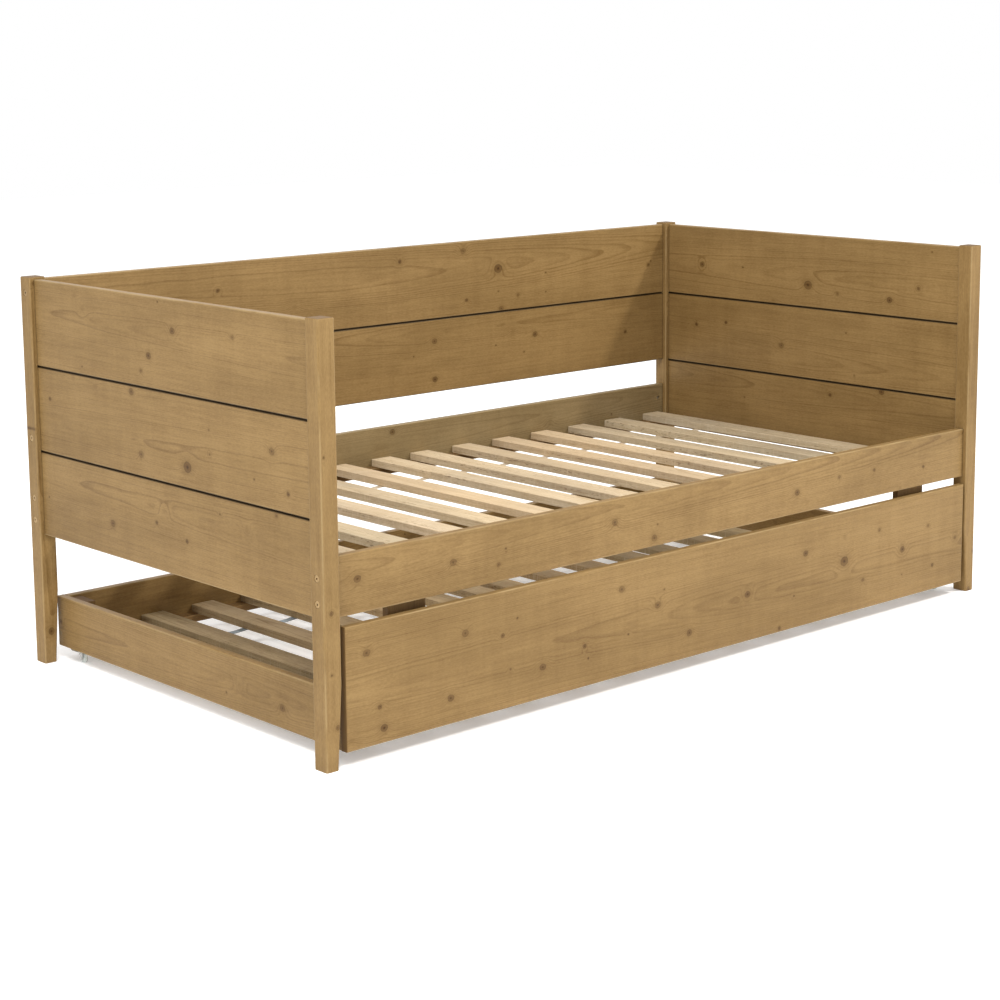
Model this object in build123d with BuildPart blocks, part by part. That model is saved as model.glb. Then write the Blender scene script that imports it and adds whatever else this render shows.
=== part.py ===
"""Trundle bed: a plank daybed whose lower bed rolls out to the front on four swivel casters.

Millimetres, +Z up. X runs along the bed's length and the trundle comes out towards -Y.
The origin is on the floor, in the middle of the four posts. The trundle is drawn pushed in.
"""

import os

from build123d import *

# Overall size and timber
overall_length = 2040
overall_depth = 1076
post_side = 40
post_height = 870
board_thickness = 18
slat_width = 60
slat_thickness = 18

# Heights of the fixed frame
panel_bottom = 295
panel_top = 865
end_planks = 3
rail_height = 120
slat_top = 338

# Post details
post_edge_radius = 4
post_top_radius = 2.5
leg_taper_height = 165
leg_taper = 11
panel_mortise = 8

# Plank joint: tongue on the lower plank's top edge, groove in the upper plank's bottom edge
joint_gap = 3
tongue_thickness = 6
tongue_height = 9
groove_clearance = 0.5
board_edge_radius = 2

# Slats and what carries them
slat_count = 14
slat_end_gap = 1
slat_edge_radius = 1.5
first_slat_left = -915
slat_pitch = 139.5
slat_drift = (0, 0, 1, 14, 3, 4, 6, -8, -7, -8, -9, -10, -11, 0)
ledger_width = 28
ledger_height = 20
tape_width = 20
tape_thickness = 1.2
tape_offset = 298

# Connector bolts and barrel nuts
bolt_radius = 3
bolt_hole_radius = 3.5
bolt_length = 78
bolt_head_radius = 7
bolt_head_height = 2.4
bolt_socket_side = 4
bolt_recess_radius = 7.5
bolt_recess_depth = 3
nut_radius = 5
nut_length = 14
nut_inset = 20
rail_bolt_heights = (panel_bottom + 32, panel_bottom + 82)
back_top_bolt_height = 835
back_bottom_bolt_height = 512

# Stop blocks behind the front rail
stop_width = 95
stop_thickness = 18
stop_centre = 795
stop_bottom = 230

# Trundle
side_clearance = 9
trundle_bottom = 30
trundle_rail_top = 145
trundle_front_top = 277
trundle_rear = 520
trundle_slat_top = 65
trundle_ledger_width = 30
trundle_first_slat_left = -903
trundle_slat_pitch = 134.5
trundle_slat_drift = (0, 4, 9, 14, 26, 38, 18, -22, -12, -4, 6, -12, 5, 3)
corner_block_width = 30
front_block_length = 80
rear_block_length = 65
corner_block_drop = 5
screw_radius = 2
screw_clearance = 0.05
screw_length = 46
screw_head_radius = 4.5
screw_head_height = 2.6
screw_heights = (60, 107)

# Swivel casters
caster_x = 951
caster_rear_y = 455
caster_front_y = -462
plate_length = 40
plate_width = 36
plate_thickness = 1.8
plate_corner_radius = 4
plate_hole_radius = 2.2
plate_hole_x = 15
plate_hole_y = 12.5
plate_screw_radius = 1.8
plate_screw_length = 14
plate_screw_head_radius = 3.4
plate_screw_head_height = 1.6
kingpin_radius = 3
kingpin_head_radius = 4.5
kingpin_head_height = 1.2
running_gap = 0.4
pin_play = 0.05
raceway_radius = 12.5
fork_thickness = 2
cheek_thickness = 1.4
cheek_top_half = 9
caster_trail = 7
wheel_radius = 10.5
wheel_width = 9
wheel_side_gap = 0.6
axle_radius = 1.6
axle_head_radius = 2.8
axle_head_height = 0.9

# Planes worked out from the sizes above
half_length = overall_length / 2
half_depth = overall_depth / 2
post_x = half_length - post_side / 2
post_y = half_depth - post_side / 2
inner_x = half_length - post_side
inner_y = half_depth - post_side
rail_face_y = post_y - board_thickness / 2
plank_pitch = (panel_top - panel_bottom) / end_planks
rail_top = panel_bottom + rail_height
ledger_top = slat_top - slat_thickness
trundle_half_length = inner_x - side_clearance
trundle_inner_x = trundle_half_length - board_thickness
trundle_front_face = -half_depth
trundle_panel_back = trundle_front_face + board_thickness
trundle_inner_rear = trundle_rear - board_thickness
trundle_ledger_top = trundle_slat_top - slat_thickness
caster_places = (
    ("front_left", -caster_x, caster_front_y),
    ("front_right", caster_x, caster_front_y),
    ("rear_left", -caster_x, caster_rear_y),
    ("rear_right", caster_x, caster_rear_y),
)
bolt_bore_depth = bolt_length - post_side + bolt_recess_depth + 4
nut_hole_depth = (board_thickness + nut_length) / 2 + 0.2

os.makedirs("parts", exist_ok=True)


def save(builder, name):
    """Label the finished piece and write it to its own STEP file."""
    builder.part.label = name
    export_step(builder.part, f"parts/{name}.step")


def box_between(low, high, mode=Mode.ADD):
    """Add or cut a box given by its lowest and highest corners."""
    size = [b - a for a, b in zip(low, high)]
    middle = [(a + b) / 2 for a, b in zip(low, high)]
    with Locations(tuple(middle)):
        Box(*size, mode=mode)


def long_edges(builder, axis):
    """The edges of a finished board that run the board's whole length along the axis."""
    edges = builder.edges().filter_by(axis)
    longest = max(edge.length for edge in edges)
    return [edge for edge in edges if edge.length > longest - 1]


# --- Posts ---------------------------------------------------------------------------------

def bolt_holes_in_post(side_x, y, heights):
    """Cut the through holes and the head recesses on the post's outer X face."""
    outward = 1 if side_x > 0 else -1
    for height in heights:
        hole_plane = Plane(origin=(side_x, y, height), x_dir=(0, 1, 0), z_dir=(outward, 0, 0))
        with BuildSketch(hole_plane) as hole:
            Circle(bolt_hole_radius)
        extrude(hole.sketch, amount=post_side, both=True, mode=Mode.SUBTRACT)
        with BuildSketch(hole_plane.offset(post_side / 2 - bolt_recess_depth)) as recess:
            Circle(bolt_recess_radius)
        extrude(recess.sketch, amount=bolt_recess_depth + 1, mode=Mode.SUBTRACT)


def make_post(name, x_side, y_side):
    """One post: square above, its leg tapering on the side that faces the other end of the bed."""
    outer = x_side * half_length
    inner = x_side * inner_x
    foot = x_side * (inner_x + leg_taper)
    y_centre = y_side * post_y
    with BuildPart() as post:
        with BuildSketch(Plane.XZ.offset(-y_centre)):
            with BuildLine():
                Polyline(
                    (outer, 0),
                    (foot, 0),
                    (inner, leg_taper_height),
                    (inner, post_height),
                    (outer, post_height),
                    close=True,
                )
            make_face()
        extrude(amount=post_side / 2, both=True)
        upright = [edge for edge in post.edges() if abs(edge.tangent_at(0.5).Z) > 0.9]
        fillet(upright, radius=post_edge_radius)
        fillet(post.faces().sort_by(Axis.Z)[-1].edges(), radius=post_top_radius)
        mortise_face = y_side * inner_y
        mortise_floor = y_side * (inner_y + panel_mortise)
        box_between(
            (x_side * post_x - board_thickness / 2, min(mortise_face, mortise_floor), panel_bottom),
            (x_side * post_x + board_thickness / 2, max(mortise_face, mortise_floor), panel_top),
            mode=Mode.SUBTRACT,
        )
        heights = list(rail_bolt_heights)
        if y_side > 0:
            heights += [back_bottom_bolt_height, back_top_bolt_height]
        bolt_holes_in_post(x_side * post_x, y_centre, heights)
    save(post, name)


make_post("post_front_left", -1, -1)
make_post("post_front_right", 1, -1)
make_post("post_rear_left", -1, 1)
make_post("post_rear_right", 1, 1)


# --- Planks and rails ----------------------------------------------------------------------

def make_board(half_run, bottom, top, tongue, groove):
    """A board along X, centred on X and Y, with its tongue above and its groove below."""
    half = board_thickness / 2
    with BuildPart() as board:
        box_between((-half_run, -half, bottom), (half_run, half, top))
        fillet(long_edges(board, Axis.X), radius=board_edge_radius)
        if tongue:
            half_tongue = tongue_thickness / 2
            box_between(
                (-half_run, -half_tongue, top - 1),
                (half_run, half_tongue, top + tongue_height),
            )
        if groove:
            half_groove = tongue_thickness / 2 + groove_clearance
            depth = tongue_height - joint_gap + groove_clearance
            box_between(
                (-half_run - 1, -half_groove, bottom - 1),
                (half_run + 1, half_groove, bottom + depth),
                mode=Mode.SUBTRACT,
            )
    return board


def end_plank(name, x_side, level):
    """One plank of an end panel. Level 0 is the lowest."""
    bottom = panel_bottom + level * plank_pitch
    is_top = level == end_planks - 1
    top = bottom + plank_pitch - (0 if is_top else joint_gap)
    board = make_board(inner_y + panel_mortise, bottom, top, not is_top, level > 0)
    with BuildPart() as plank:
        with Locations(Location((x_side * post_x, 0, 0), (0, 0, 90))):
            add(board.part)
    save(plank, name)


for side_name, x_side in (("left", -1), ("right", 1)):
    for level, level_name in enumerate(("bottom", "middle", "top")):
        end_plank(f"{side_name}_plank_{level_name}", x_side, level)


def bolt_sockets(y_centre, heights, nut_face):
    """Cut the bolt holes in both ends of a board, and the barrel nut holes from one face."""
    for x_side in (-1, 1):
        for height in heights:
            end_plane = Plane(
                origin=(x_side * inner_x, y_centre, height), x_dir=(0, 1, 0), z_dir=(-x_side, 0, 0)
            )
            with BuildSketch(end_plane) as bore:
                Circle(bolt_hole_radius)
            extrude(bore.sketch, amount=bolt_bore_depth, mode=Mode.SUBTRACT)
            nut_plane = Plane(
                origin=(
                    x_side * (inner_x - nut_inset),
                    y_centre + nut_face * board_thickness / 2,
                    height,
                ),
                x_dir=(1, 0, 0),
                z_dir=(0, -nut_face, 0),
            )
            with BuildSketch(nut_plane) as nut_hole:
                Circle(nut_radius + 0.1)
            extrude(nut_hole.sketch, amount=nut_hole_depth, mode=Mode.SUBTRACT)


def long_board(name, y_centre, bottom, top, heights, nut_face, tongue=False, groove=False):
    """A board between the left and right posts, bored for its bolts and barrel nuts."""
    board = make_board(inner_x, bottom, top, tongue, groove)
    with BuildPart() as rail:
        with Locations((0, y_centre, 0)):
            add(board.part)
        bolt_sockets(y_centre, heights, nut_face)
    save(rail, name)


back_split = panel_top - plank_pitch
back_bottom = panel_top - 2 * plank_pitch
long_board("front_rail", -post_y, panel_bottom, rail_top, rail_bolt_heights, nut_face=1)
long_board("rear_rail", post_y, panel_bottom, rail_top, rail_bolt_heights, nut_face=-1)
long_board(
    "back_plank_bottom",
    post_y,
    back_bottom,
    back_split - joint_gap,
    [back_bottom_bolt_height],
    nut_face=1,
    tongue=True,
)
long_board(
    "back_plank_top",
    post_y,
    back_split,
    panel_top,
    [back_top_bolt_height],
    nut_face=1,
    groove=True,
)


def plain_strip(name, low, high, radius, axis):
    """A rectangular strip of timber with its four long edges rounded over."""
    with BuildPart() as strip:
        box_between(low, high)
        fillet(long_edges(strip, axis), radius=radius)
    save(strip, name)


for strip_name, y_side in (("front_ledger", -1), ("rear_ledger", 1)):
    rail_side = y_side * rail_face_y
    open_side = y_side * (rail_face_y - ledger_width)
    plain_strip(
        strip_name,
        (-inner_x, min(rail_side, open_side), ledger_top - ledger_height),
        (inner_x, max(rail_side, open_side), ledger_top),
        1,
        Axis.X,
    )

# --- Slats of the upper bed ----------------------------------------------------------------

for number in range(slat_count):
    left = first_slat_left + number * slat_pitch + slat_drift[number]
    reach = rail_face_y - slat_end_gap
    plain_strip(
        f"slat_{number + 1:02d}",
        (left, -reach, slat_top - slat_thickness),
        (left + slat_width, reach, slat_top),
        slat_edge_radius,
        Axis.Y,
    )


def make_tapes(name, left, right, y_lines, top):
    """Two webbing tapes along X, flat against the undersides of the slats."""
    with BuildPart() as tapes:
        for y in y_lines:
            box_between(
                (left, y - tape_width / 2, top - tape_thickness),
                (right, y + tape_width / 2, top),
            )
    save(tapes, name)


last_slat_right = first_slat_left + (slat_count - 1) * slat_pitch + slat_width
make_tapes(
    "slat_tapes",
    first_slat_left + 5,
    last_slat_right - 5,
    (-tape_offset, tape_offset),
    ledger_top,
)


# --- Connector bolts, barrel nuts and stop blocks ------------------------------------------

def joint_places():
    """Every bolted joint: side of the bed, Y of the board's middle and height."""
    places = []
    for x_side in (-1, 1):
        for height in rail_bolt_heights:
            places.append((x_side, -post_y, height))
            places.append((x_side, post_y, height))
        places.append((x_side, post_y, back_bottom_bolt_height))
        places.append((x_side, post_y, back_top_bolt_height))
    return places


with BuildPart() as frame_bolts:
    for x_side, y, height in joint_places():
        seat = Plane(
            origin=(x_side * (half_length - bolt_recess_depth), y, height),
            x_dir=(0, 1, 0),
            z_dir=(x_side, 0, 0),
        )
        with BuildSketch(seat):
            Circle(bolt_head_radius)
        extrude(amount=bolt_head_height)
        with BuildSketch(seat):
            Circle(bolt_radius)
        extrude(amount=-bolt_length)
        with BuildSketch(seat.offset(bolt_head_height)):
            RegularPolygon(bolt_socket_side / 2, 6, major_radius=False)
        extrude(amount=-bolt_head_height - 1, mode=Mode.SUBTRACT)
save(frame_bolts, "frame_bolts")

with BuildPart() as barrel_nuts:
    for x_side, y, height in joint_places():
        nut_middle = Plane(
            origin=(x_side * (inner_x - nut_inset), y, height), x_dir=(1, 0, 0), z_dir=(0, 1, 0)
        )
        with BuildSketch(nut_middle):
            Circle(nut_radius)
        extrude(amount=nut_length / 2, both=True)
        cross_hole = Plane(
            origin=(x_side * (inner_x - nut_inset), y, height), x_dir=(0, 1, 0), z_dir=(1, 0, 0)
        )
        with BuildSketch(cross_hole):
            Circle(bolt_radius + 0.1)
        extrude(amount=nut_radius + 1, both=True, mode=Mode.SUBTRACT)
save(barrel_nuts, "barrel_nuts")

for block_name, x_side in (("stop_block_left", -1), ("stop_block_right", 1)):
    plain_strip(
        block_name,
        (x_side * stop_centre - stop_width / 2, -rail_face_y, stop_bottom),
        (
            x_side * stop_centre + stop_width / 2,
            -rail_face_y + stop_thickness,
            ledger_top - ledger_height,
        ),
        1.5,
        Axis.Z,
    )

# --- Trundle box ---------------------------------------------------------------------------

with BuildPart() as trundle_front_panel:
    box_between(
        (-trundle_half_length, trundle_front_face, trundle_bottom),
        (trundle_half_length, trundle_panel_back, trundle_front_top),
    )
    front_edges = trundle_front_panel.faces().sort_by(Axis.Y)[0].edges()
    top_edges = trundle_front_panel.faces().sort_by(Axis.Z)[-1].edges().filter_by(Axis.X)
    fillet(front_edges + top_edges, radius=2.5)
save(trundle_front_panel, "trundle_front_panel")



def screw_hole(x_side, y, height):
    """Bore for a screw driven along X through a side rail into the rear rail's end."""
    head = Plane(
        origin=(x_side * trundle_half_length, y, height), x_dir=(0, 1, 0), z_dir=(x_side, 0, 0)
    )
    with BuildSketch(head) as shank:
        Circle(screw_radius + screw_clearance)
    extrude(shank.sketch, amount=-screw_length - 1, mode=Mode.SUBTRACT)
    with BuildSketch(head.offset(-screw_head_height)) as sunk_head:
        Circle(screw_head_radius + screw_clearance)
    extrude(sunk_head.sketch, amount=screw_head_height + 1, mode=Mode.SUBTRACT)


def plate_screw_holes():
    """Bore upwards for the screws that hold the four caster plates."""
    for place, x, y in caster_places:
        with BuildSketch(Plane.XY.offset(trundle_bottom)) as pilots:
            with Locations((x, y)):
                with GridLocations(2 * plate_hole_x, 2 * plate_hole_y, 2, 2):
                    Circle(plate_screw_radius + screw_clearance)
        extrude(pilots.sketch, amount=plate_screw_length + 1, mode=Mode.SUBTRACT)


with BuildPart() as trundle_rear_rail:
    box_between(
        (-trundle_inner_x, trundle_inner_rear, trundle_bottom),
        (trundle_inner_x, trundle_rear, trundle_rail_top),
    )
    fillet(long_edges(trundle_rear_rail, Axis.X), radius=2)
    for x_side in (-1, 1):
        for height in screw_heights:
            screw_hole(x_side, trundle_rear - board_thickness / 2, height)
save(trundle_rear_rail, "trundle_rear_rail")


for rail_name, x_side in (("trundle_left_rail", -1), ("trundle_right_rail", 1)):
    outer_face = x_side * trundle_half_length
    inner_face = x_side * trundle_inner_x
    with BuildPart() as side_rail:
        box_between(
            (min(outer_face, inner_face), trundle_panel_back, trundle_bottom),
            (max(outer_face, inner_face), trundle_rear, trundle_rail_top),
        )
        fillet(long_edges(side_rail, Axis.Y), radius=2)
        for height in screw_heights:
            screw_hole(x_side, trundle_rear - board_thickness / 2, height)
        plate_screw_holes()
    save(side_rail, rail_name)

with BuildPart() as trundle_screws:
    for x_side in (-1, 1):
        for height in screw_heights:
            head = Plane(
                origin=(
                    x_side * (trundle_half_length - screw_head_height),
                    trundle_rear - board_thickness / 2,
                    height,
                ),
                x_dir=(0, 1, 0),
                z_dir=(x_side, 0, 0),
            )
            with BuildSketch(head):
                Circle(screw_head_radius)
            extrude(amount=screw_head_height - 0.4)
            with BuildSketch(head):
                Circle(screw_radius)
            extrude(amount=screw_head_height - screw_length)
save(trundle_screws, "trundle_screws")

block_top = trundle_rail_top - corner_block_drop
ledger_reach = trundle_inner_x - corner_block_width
for strip_name, rail_side, open_side in (
    ("trundle_front_ledger", trundle_panel_back, trundle_panel_back + trundle_ledger_width),
    ("trundle_rear_ledger", trundle_inner_rear, trundle_inner_rear - trundle_ledger_width),
):
    plain_strip(
        strip_name,
        (-ledger_reach, min(rail_side, open_side), trundle_bottom),
        (ledger_reach, max(rail_side, open_side), trundle_ledger_top),
        1,
        Axis.X,
    )

with BuildPart() as corner_blocks:
    for x_side in (-1, 1):
        side_face = x_side * trundle_inner_x
        block_face = x_side * (trundle_inner_x - corner_block_width)
        for end_face, block_end in (
            (trundle_panel_back, trundle_panel_back + front_block_length),
            (trundle_inner_rear, trundle_inner_rear - rear_block_length),
        ):
            box_between(
                (min(side_face, block_face), min(end_face, block_end), trundle_bottom),
                (max(side_face, block_face), max(end_face, block_end), block_top),
            )
    fillet(corner_blocks.edges().filter_by(Axis.Z), radius=1.5)
    plate_screw_holes()
save(corner_blocks, "corner_blocks")

with BuildPart() as trundle_slats:
    for number in range(slat_count):
        left = trundle_first_slat_left + number * trundle_slat_pitch + trundle_slat_drift[number]
        box_between(
            (left, trundle_panel_back + slat_end_gap, trundle_ledger_top),
            (left + slat_width, trundle_inner_rear - slat_end_gap, trundle_slat_top),
        )
    fillet(long_edges(trundle_slats, Axis.Y), radius=slat_edge_radius)
save(trundle_slats, "trundle_slats")

trundle_middle_y = (trundle_panel_back + trundle_inner_rear) / 2
make_tapes(
    "trundle_tapes",
    trundle_first_slat_left + 5,
    trundle_first_slat_left + (slat_count - 1) * trundle_slat_pitch + slat_width - 5,
    (trundle_middle_y - tape_offset, trundle_middle_y + tape_offset),
    trundle_ledger_top,
)

# --- Casters -------------------------------------------------------------------------------

plate_bottom = trundle_bottom - plate_thickness
fork_top = plate_bottom - running_gap
fork_bottom = fork_top - fork_thickness
cheek_inner = wheel_width / 2 + wheel_side_gap
cheek_outer = cheek_inner + cheek_thickness

with BuildPart() as caster_plates:
    for place, x, y in caster_places:
        with BuildSketch(Plane.XY.offset(plate_bottom)):
            with Locations((x, y)):
                RectangleRounded(plate_length, plate_width, plate_corner_radius)
                with GridLocations(2 * plate_hole_x, 2 * plate_hole_y, 2, 2):
                    Circle(plate_hole_radius, mode=Mode.SUBTRACT)
        extrude(amount=plate_thickness)
        with BuildSketch(Plane.XY.offset(fork_bottom - running_gap)):
            with Locations((x, y)):
                Circle(kingpin_radius)
        extrude(amount=fork_thickness + 2 * running_gap)
        with BuildSketch(Plane.XY.offset(fork_bottom - running_gap - kingpin_head_height)):
            with Locations((x, y)):
                Circle(kingpin_head_radius)
        extrude(amount=kingpin_head_height)
save(caster_plates, "caster_plates")

with BuildPart() as caster_screws:
    for place, x, y in caster_places:
        with BuildSketch(Plane.XY.offset(plate_bottom)):
            with Locations((x, y)):
                with GridLocations(2 * plate_hole_x, 2 * plate_hole_y, 2, 2):
                    Circle(plate_screw_head_radius)
        extrude(amount=-plate_screw_head_height)
        with BuildSketch(Plane.XY.offset(plate_bottom)):
            with Locations((x, y)):
                with GridLocations(2 * plate_hole_x, 2 * plate_hole_y, 2, 2):
                    Circle(plate_screw_radius)
        extrude(amount=plate_screw_length)
save(caster_screws, "caster_screws")


def make_fork(name, x, y):
    """Swivel fork: a pressed disc under the plate and two cheeks that trail down to the axle."""
    axle_y = y - caster_trail
    with BuildPart() as fork:
        with BuildSketch(Plane.XY.offset(fork_bottom)):
            with Locations((x, y)):
                Circle(raceway_radius)
                Circle(kingpin_radius + pin_play, mode=Mode.SUBTRACT)
        extrude(amount=fork_thickness)
        for side in (-1, 1):
            cheek_x = x + side * (cheek_inner + cheek_thickness / 2)
            cheek_plane = Plane(origin=(cheek_x, 0, 0), x_dir=(0, 1, 0), z_dir=(1, 0, 0))
            with BuildSketch(cheek_plane):
                with BuildLine():
                    Polyline(
                        (y - cheek_top_half, fork_bottom + 1),
                        (axle_y - 4, wheel_radius - 1),
                        (axle_y - 2, wheel_radius - 4),
                        (axle_y + 3, wheel_radius - 4),
                        (axle_y + 5, wheel_radius - 1),
                        (y + cheek_top_half, fork_bottom + 1),
                        close=True,
                    )
                make_face()
                with Locations((axle_y, wheel_radius)):
                    Circle(axle_radius, mode=Mode.SUBTRACT)
            extrude(amount=cheek_thickness / 2, both=True)
    save(fork, name)


def make_wheel(name, x, y):
    """Caster wheel: a rounded tread and a thinner web, bored to run on the axle."""
    side_plane = Plane(origin=(x, y - caster_trail, wheel_radius), x_dir=(0, 1, 0), z_dir=(1, 0, 0))
    with BuildPart() as wheel:
        with BuildSketch(side_plane):
            Circle(wheel_radius)
        extrude(amount=wheel_width / 2, both=True)
        fillet(wheel.edges().filter_by(GeomType.CIRCLE), radius=1.2)
        for side in (-1, 1):
            with BuildSketch(side_plane.offset(side * (wheel_width / 2 - 1.6))):
                Circle(wheel_radius - 2.6)
                Circle(axle_radius + 1.8, mode=Mode.SUBTRACT)
            extrude(amount=side * 3, mode=Mode.SUBTRACT)
        with BuildSketch(side_plane):
            Circle(axle_radius + pin_play)
        extrude(amount=wheel_width, both=True, mode=Mode.SUBTRACT)
    save(wheel, name)


def make_axle(name, x, y):
    """Riveted axle through both cheeks of the fork, with a head on each side."""
    side_plane = Plane(origin=(x, y - caster_trail, wheel_radius), x_dir=(0, 1, 0), z_dir=(1, 0, 0))
    with BuildPart() as axle:
        with BuildSketch(side_plane):
            Circle(axle_radius)
        extrude(amount=cheek_outer, both=True)
        for side in (-1, 1):
            with BuildSketch(side_plane.offset(side * cheek_outer)):
                Circle(axle_head_radius)
            extrude(amount=side * axle_head_height)
    save(axle, name)


for place, x, y in caster_places:
    make_fork(f"caster_fork_{place}", x, y)
    make_wheel(f"caster_wheel_{place}", x, y)
    make_axle(f"caster_axle_{place}", x, y)
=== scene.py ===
"""Trundle bed in stained knotty pine: materials, webbing, staples, casters and studio round the CAD frame.

Metres, +Z up. X runs along the bed, the trundle comes out towards -Y, and the floor is at z = 0.
"""

from __future__ import annotations

import logging
import math
from dataclasses import dataclass, field, replace
from enum import Enum
from typing import Callable, Mapping, Sequence

import bpy
import numpy as np
from mathutils import Matrix, Vector

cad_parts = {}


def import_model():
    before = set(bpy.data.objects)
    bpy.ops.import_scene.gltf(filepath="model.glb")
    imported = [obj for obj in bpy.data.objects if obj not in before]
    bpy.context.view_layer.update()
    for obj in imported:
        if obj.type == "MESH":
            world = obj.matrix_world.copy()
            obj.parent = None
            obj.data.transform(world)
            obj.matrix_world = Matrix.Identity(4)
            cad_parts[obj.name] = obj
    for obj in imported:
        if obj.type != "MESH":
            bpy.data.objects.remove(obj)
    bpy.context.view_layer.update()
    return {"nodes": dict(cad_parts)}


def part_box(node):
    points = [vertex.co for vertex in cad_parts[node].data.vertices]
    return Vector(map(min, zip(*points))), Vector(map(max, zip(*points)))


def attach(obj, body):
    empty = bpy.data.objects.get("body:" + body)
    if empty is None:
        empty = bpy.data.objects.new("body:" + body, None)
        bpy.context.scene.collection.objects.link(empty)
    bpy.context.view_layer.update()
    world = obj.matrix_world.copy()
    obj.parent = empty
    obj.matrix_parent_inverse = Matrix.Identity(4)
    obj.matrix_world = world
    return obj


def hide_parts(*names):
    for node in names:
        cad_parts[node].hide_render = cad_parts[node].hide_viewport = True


LOG = logging.getLogger("trundle_bed")
Colour = tuple[float, float, float]
SLAT_COUNT = 14
SHARP_EDGE = math.radians(40)

# Where a darkened line (painted shade with stain in a groove, painted shadow at a post) or a lightened
# edge (wear with a painted highlight) fades out and where it is full, in metres from its middle.
GROOVE_SHADE_AND_STAIN = (0.0044, 0.0018)
POST_SHADOW_LINE = (0.0055, 0.0010)
EDGE_RUB_HIGHLIGHT = (0.0042, 0.0006)


# --- Shader arithmetic ---------------------------------------------------------------------


class Value:
    """A number on a shader link. Arithmetic on it adds Math nodes to its sheet."""

    def __init__(self, sheet: "Sheet", socket: bpy.types.NodeSocket) -> None:
        """Keep the socket that carries the number and the sheet that it is on."""
        self.sheet = sheet
        self.socket = socket

    def _math(self, operation: str, *terms: "Value | float") -> "Value":
        """Add one Math node.

        Args:
            operation: the Math node's operation.
            terms: its inputs in order, numbers or values.

        Returns:
            The node's result.
        """
        inputs = dict(enumerate(terms))
        made = self.sheet.node("ShaderNodeMath", {"operation": operation}, inputs)
        return Value(self.sheet, made.outputs[0])

    def __add__(self, other: "Value | float") -> "Value":
        """Sum."""
        return self._math("ADD", self, other)

    def __radd__(self, other: float) -> "Value":
        """Sum, number first."""
        return self._math("ADD", other, self)

    def __sub__(self, other: "Value | float") -> "Value":
        """Difference."""
        return self._math("SUBTRACT", self, other)

    def __rsub__(self, other: float) -> "Value":
        """Difference, number first."""
        return self._math("SUBTRACT", other, self)

    def __mul__(self, other: "Value | float") -> "Value":
        """Product."""
        return self._math("MULTIPLY", self, other)

    def __rmul__(self, other: float) -> "Value":
        """Product, number first."""
        return self._math("MULTIPLY", other, self)

    def __truediv__(self, other: "Value | float") -> "Value":
        """Quotient."""
        return self._math("DIVIDE", self, other)

    def __rpow__(self, base: float) -> "Value":
        """A number raised to this value."""
        return self._math("POWER", base, self)

    def __abs__(self) -> "Value":
        """Size without sign."""
        return self._math("ABSOLUTE", self)

    def floor(self) -> "Value":
        """Whole part, rounded down."""
        return self._math("FLOOR", self)

    def fraction(self) -> "Value":
        """What is left above the whole part."""
        return self._math("FRACT", self)

    def sine(self) -> "Value":
        """Sine of an angle in radians."""
        return self._math("SINE", self)

    def least(self, other: "Value | float") -> "Value":
        """The smaller of the two."""
        return self._math("MINIMUM", self, other)

    def most(self, other: "Value | float") -> "Value":
        """The larger of the two."""
        return self._math("MAXIMUM", self, other)

    def bell(self) -> "Value":
        """A bell curve of this value: e to the power of minus its square."""
        return math.e ** (self * self * -1.0)

    def rise(self, low: float, high: float) -> "Value":
        """A smooth step.

        Args:
            low: where the step starts, at 0.
            high: where it ends, at 1. A high below low gives a falling step.

        Returns:
            A value from 0 to 1.
        """
        made = self.sheet.node(
            "ShaderNodeMapRange",
            {"interpolation_type": "SMOOTHSTEP"},
            {"Value": self, "From Min": min(low, high), "From Max": max(low, high)},
        )
        step = Value(self.sheet, made.outputs[0])
        return step if low < high else 1.0 - step


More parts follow.
